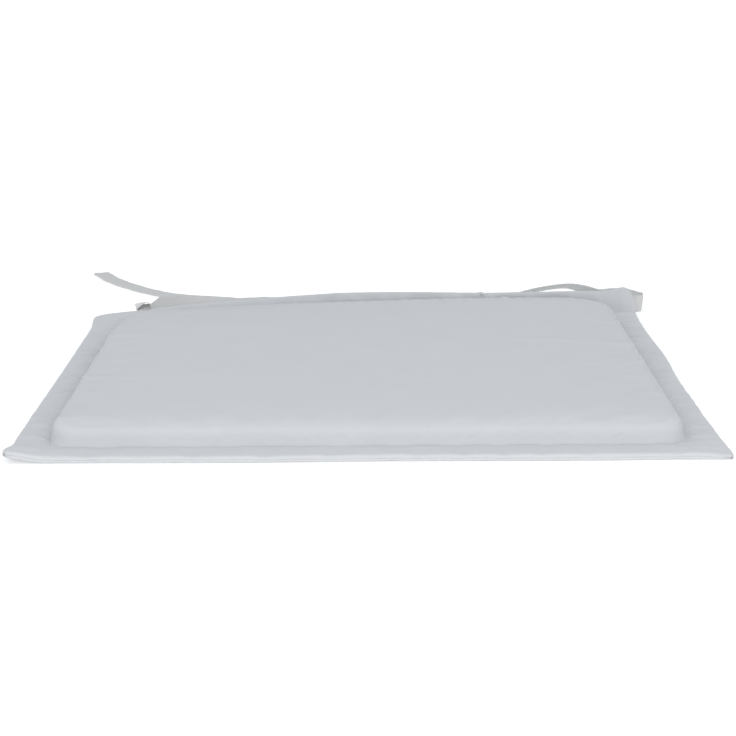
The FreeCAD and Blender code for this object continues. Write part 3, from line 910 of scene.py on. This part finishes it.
# How far a tape is turned from lying flat: (share of its length, degrees).
LEFT_TURN = ((0, 0), (1, 0))
RIGHT_INNER_TURN = ((0, 0), (0.10, 40), (0.30, 50), (0.60, 42), (0.76, 36), (0.87, 72), (1, 86))
RIGHT_OUTER_TURN = (
    (0, 0), (0.10, 15), (0.22, 22), (0.34, 24), (0.42, 60), (0.48, 84), (0.62, 84), (0.74, 50),
    (0.86, 20), (1, 0),
)


def tape_section():
    """Half outline of the flat tape: places across its width, and half its thickness there."""
    across = np.array([-1, -0.985, -0.94, -0.86, -0.7, -0.4, 0, 0.4, 0.7, 0.86, 0.94, 0.985, 1])
    thick = np.array([0.18, 0.62, 0.92, 0.80, 0.94, 1.0, 0.98, 1.0, 0.94, 0.80, 0.92, 0.62, 0.18])
    return across * TAPE_WIDTH / 2, thick * TAPE_THICKNESS / 2


def tape_frames(line, turns):
    """Tape directions along a line: forward, across the width and out of its face."""
    forward = unit(np.gradient(line, axis=0))
    level = unit(np.cross(forward, [0.0, 0.0, 1.0]))
    above = np.cross(level, forward)
    walked = walked_along(line)
    angle = np.radians(along(turns, walked / walked[-1], 0.05))[:, None]
    across = np.cos(angle) * level + np.sin(angle) * above
    face = np.cos(angle) * above - np.sin(angle) * level
    return forward, across, face


def tape_mesh(name, line, frames, end_slant, round_end):
    """A tape, whose far end is rounded over round_end and cut on a slant of end_slant."""
    forward, across, face = frames
    width, thick = tape_section()
    walked = walked_along(line)
    left = walked[-1] - walked
    end = np.sqrt(np.clip(1 - (1 - np.clip(left / round_end, 0, 1)) ** 2, 0.12, 1))
    narrow = 1 - (1 - end) * round_end / (TAPE_WIDTH / 2)
    slant = end_slant * smooth(1 - left / 0.03)
    wobble = 0.0003 * np.sin(walked * 190 + 1.0) + 0.0002 * np.sin(walked * 420)
    cup = 0.0004 * np.sin(walked * 60 + 0.5)
    halves = []
    for sign in (1, -1):
        place, half_thick = width[::sign], thick[::sign]
        bowed = cup[:, None] * (1 - (place / (TAPE_WIDTH / 2)) ** 2)
        sideways = place * narrow[:, None] + wobble[:, None]
        outward = sign * half_thick * end[:, None] + bowed
        onward = place / TAPE_WIDTH * slant[:, None]
        halves.append(
            line[:, None]
            + sideways[..., None] * across[:, None]
            + outward[..., None] * face[:, None]
            + onward[..., None] * forward[:, None]
        )
    rows = above_table(np.concatenate(halves, axis=1))
    flat_width = np.concatenate([width, width[::-1]])
    flat = np.stack(np.broadcast_arrays(flat_width[None], walked[:, None]), axis=-1)
    return mesh_object(name, rows, strip_faces(*rows.shape[:2])[:, ::-1], TIE_FABRIC, flat)


def build_tail(tie, route, turns, end_slant=0.0, stitch_side=1.0, round_end=0.0016):
    """A tape along its route, with edge stitching, both standing for the tie's CAD nodes."""
    raw = route_line(route)
    line = at(raw, evenly(raw, TAPE_STEP))
    forward, across, face = tape_frames(line, turns)
    tail = tape_mesh(f"{tie}_tape", line, (forward, across, face), end_slant, round_end)

    number = evenly(line, STITCH_PITCH)[4:-2]  # none right at the root or at the tip
    middle = at(line, number) + at(across, number) * stitch_side * TAPE_SEAM
    out, way = at(face, number), at(forward, number)
    stitches = bead_rows(
        f"{tie}_edge_stitches",
        np.concatenate([middle + out * TAPE_SEAM_RISE, middle - out * TAPE_SEAM_RISE]),
        np.concatenate([way, way]), np.concatenate([out, -out]), STITCH_LENGTH, TAPE_THREAD,
    )
    declare(tail, "tie_fabric", f"{tie}_tail")
    declare(stitches, "thread", f"{tie}_stitch")


def build_fold(side, x):
    """The middle of a tie strip, folded once and caught in the back seam."""
    radius, thickness = TIE_LAYER, 0.0010
    last, near, far = HALF - 0.0012, HALF - 0.003, LEFT_FOLD_LOW[1] + radius + thickness / 2
    turns = np.linspace(-math.pi / 2, math.pi / 2, 9)[1:-1]
    middle = [(last, -radius)] + [(y, -radius) for y in np.linspace(near, far, 5)]
    middle += [(far - radius * math.cos(turn), radius * math.sin(turn)) for turn in turns]
    middle += [(y, radius) for y in np.linspace(far, near, 5)] + [(last, radius)]
    middle = np.array(middle)
    way = unit(np.gradient(middle, axis=0))
    normal = np.stack([-way[:, 1], way[:, 0]], axis=-1) * thickness / 2
    closed = np.concatenate([middle + normal, (middle - normal)[::-1]])
    across = np.linspace(-0.5, 0.5, 9) * TAPE_WIDTH
    points = settled([[(x + place, y, SEAM_Z + z) for y, z in closed] for place in across])
    walked = np.arange(len(closed)) * 0.0012
    flat = np.stack(np.broadcast_arrays(across[:, None], walked[None]), axis=-1)
    faces = strip_faces(*points.shape[:2])
    piece = mesh_object(f"tie_{side}_folded_middle", points, faces, TIE_FABRIC, flat)
    declare(piece, "tie_fabric", f"tie_{side}_fold")


def build_tack(side, x):
    """The back-tack: a short zigzag of thread across the fold."""
    count, length = 11, 0.0020
    turn = np.where(np.arange(count) % 2, 1.0, -1.0)
    place = np.linspace(-0.5, 0.5, count) * (LEFT_TACK_HIGH[0] - LEFT_TACK_LOW[0])
    middle = (LEFT_TACK_LOW[1] + LEFT_TACK_HIGH[1]) / 2
    height = np.full(count, LEFT_TACK_LOW[2] + 0.0002)
    flat = np.stack([x + place, middle + turn * 0.0003, height], axis=-1)
    line = settled(flat)
    ahead = settled(flat + np.array([0, 0.001, 0])) - line
    forward = np.stack([np.full(count, 0.4), turn, np.zeros(count)], axis=-1)
    upward = np.cross([1.0, 0, 0], unit(ahead))
    piece = bead_rows(f"tie_{side}_back_tack", line, forward, upward, length, TAPE_THREAD)
    declare(piece, "thread", f"tie_{side}_tack")


# ---------------------------------------------------------------- care label
def build_label():
    """A blank folded label in the back seam, whose limp loop has flopped over to one side."""
    right, left = LABEL_HIGH[0] - 0.001, LABEL_LOW[0] + 0.001
    front = settled([right, HALF, SEAM_Z])[1]
    middle = route_line((
        (right, 0, 0.0050), (right - 0.0005, 0, 0.0085), (right - 0.0030, 0, 0.0125),
        (right - 0.0065, 0, 0.0120), (right - 0.0100, 0, 0.0092), (left, 0, 0.0058),
        (left + 0.0020, 0, 0.0046), (left + 0.0060, 0, 0.0062), (right - 0.0010, 0, 0.0066),
    ))[:, [0, 2]]
    way = unit(np.gradient(middle, axis=0))
    normal = np.stack([way[:, 1], -way[:, 0]], axis=-1) * LABEL_THICKNESS / 2
    closed = np.concatenate([middle + normal, (middle - normal)[::-1]])
    back = np.linspace(-0.0005, LABEL_DEPTH, 9)
    pinch = 1 - 0.75 * smooth(back / LABEL_DEPTH)
    points = np.array([
        [(x + LABEL_LEAN * y, front + y, LABEL_LEVEL + (z - LABEL_LEVEL) * share) for x, z in closed]
        for y, share in zip(back, pinch)
    ])
    walked = np.arange(len(closed)) * 0.0004
    flat = np.stack(np.broadcast_arrays(back[:, None], walked[None]), axis=-1)
    faces = strip_faces(*points.shape[:2])
    piece = mesh_object("care_label_loop", above_table(points), faces, LABEL_TAPE, flat)
    declare(piece, "label_tape", "care_label")


# ---------------------------------------------------------------- table and light
HORIZON = (0.55, 0.548, 0.545, 1)
OVERHEAD = (1.03, 1.06, 1.09, 1)
TABLE_REACH = 40.0
LIGHT_PLACE, LIGHT_TARGET = (0.05, -1.50, 0.28), (0, -0.1, 0.01)
LIGHT_SIZE, LIGHT_POWER, LIGHT_COLOUR = 0.8, 9.4, (1.0, 0.970, 0.935)


def add_light():
    """A soft square light, low in front of the pad."""
    data = bpy.data.lights.new("front_light", "AREA")
    data.size = LIGHT_SIZE
    data.energy = LIGHT_POWER
    data.color = LIGHT_COLOUR
    lamp = bpy.data.objects.new("front_light", data)
    bpy.context.scene.collection.objects.link(lamp)
    lamp.location = LIGHT_PLACE
    beam = Vector(LIGHT_TARGET) - Vector(LIGHT_PLACE)
    lamp.rotation_euler = beam.to_track_quat("-Z", "Y").to_euler()


def add_surround():
    """A surround that is brighter and a little cooler overhead than at table height."""
    world = bpy.data.worlds.new("world")
    world.use_nodes = True
    tree = world.node_tree
    place = tree.nodes.new("ShaderNodeTexCoord")
    parts = tree.nodes.new("ShaderNodeSeparateXYZ")
    ramp = tree.nodes.new("ShaderNodeMix")
    ramp.data_type = "RGBA"
    ramp.inputs["A"].default_value = HORIZON
    ramp.inputs["B"].default_value = OVERHEAD
    tree.links.new(place.outputs["Generated"], parts.inputs[0])
    tree.links.new(parts.outputs["Z"], ramp.inputs["Factor"])
    tree.links.new(ramp.outputs["Result"], tree.nodes["Background"].inputs["Color"])
    bpy.context.scene.world = world


def add_stage():
    """A pale table under a bright surround, lit from the front."""
    corners = [(-1, -1, 0), (1, -1, 0), (1, 1, 0), (-1, 1, 0)]
    material = table_top("floor", (0.93, 0.93, 0.93, 1), 0.25)
    floor = mesh_object("floor", np.array(corners) * TABLE_REACH, [(0, 1, 2, 3)], material)
    add_surround()
    add_light()
    bpy.context.scene.view_settings.view_transform = "Standard"


add_camera()
build_tail("tie_left_outer", LEFT_OUTER, LEFT_TURN, round_end=0.0045)
build_tail("tie_left_inner", LEFT_INNER, LEFT_TURN)
build_tail("tie_right_inner", RIGHT_INNER, RIGHT_INNER_TURN, -0.017, stitch_side=-1.0)
build_tail("tie_right_outer", RIGHT_OUTER, RIGHT_OUTER_TURN)

top, bottom = form_sheets()
build_cover("top_cover_cloth", top, bottom, "top_cover")
build_cover("bottom_cover_cloth", bottom, top, "bottom_cover")
build_foam(top, bottom)
border_stitches("border_needle_stitches", top, "border_needle_thread")
border_stitches("border_bobbin_stitches", bottom, "border_bobbin_thread")
edge_seam_stitches()
for side, place in (("left", TIE_X), ("right", -TIE_X)):
    build_fold(side, place)
    build_tack(side, place)
build_label()
add_stage()
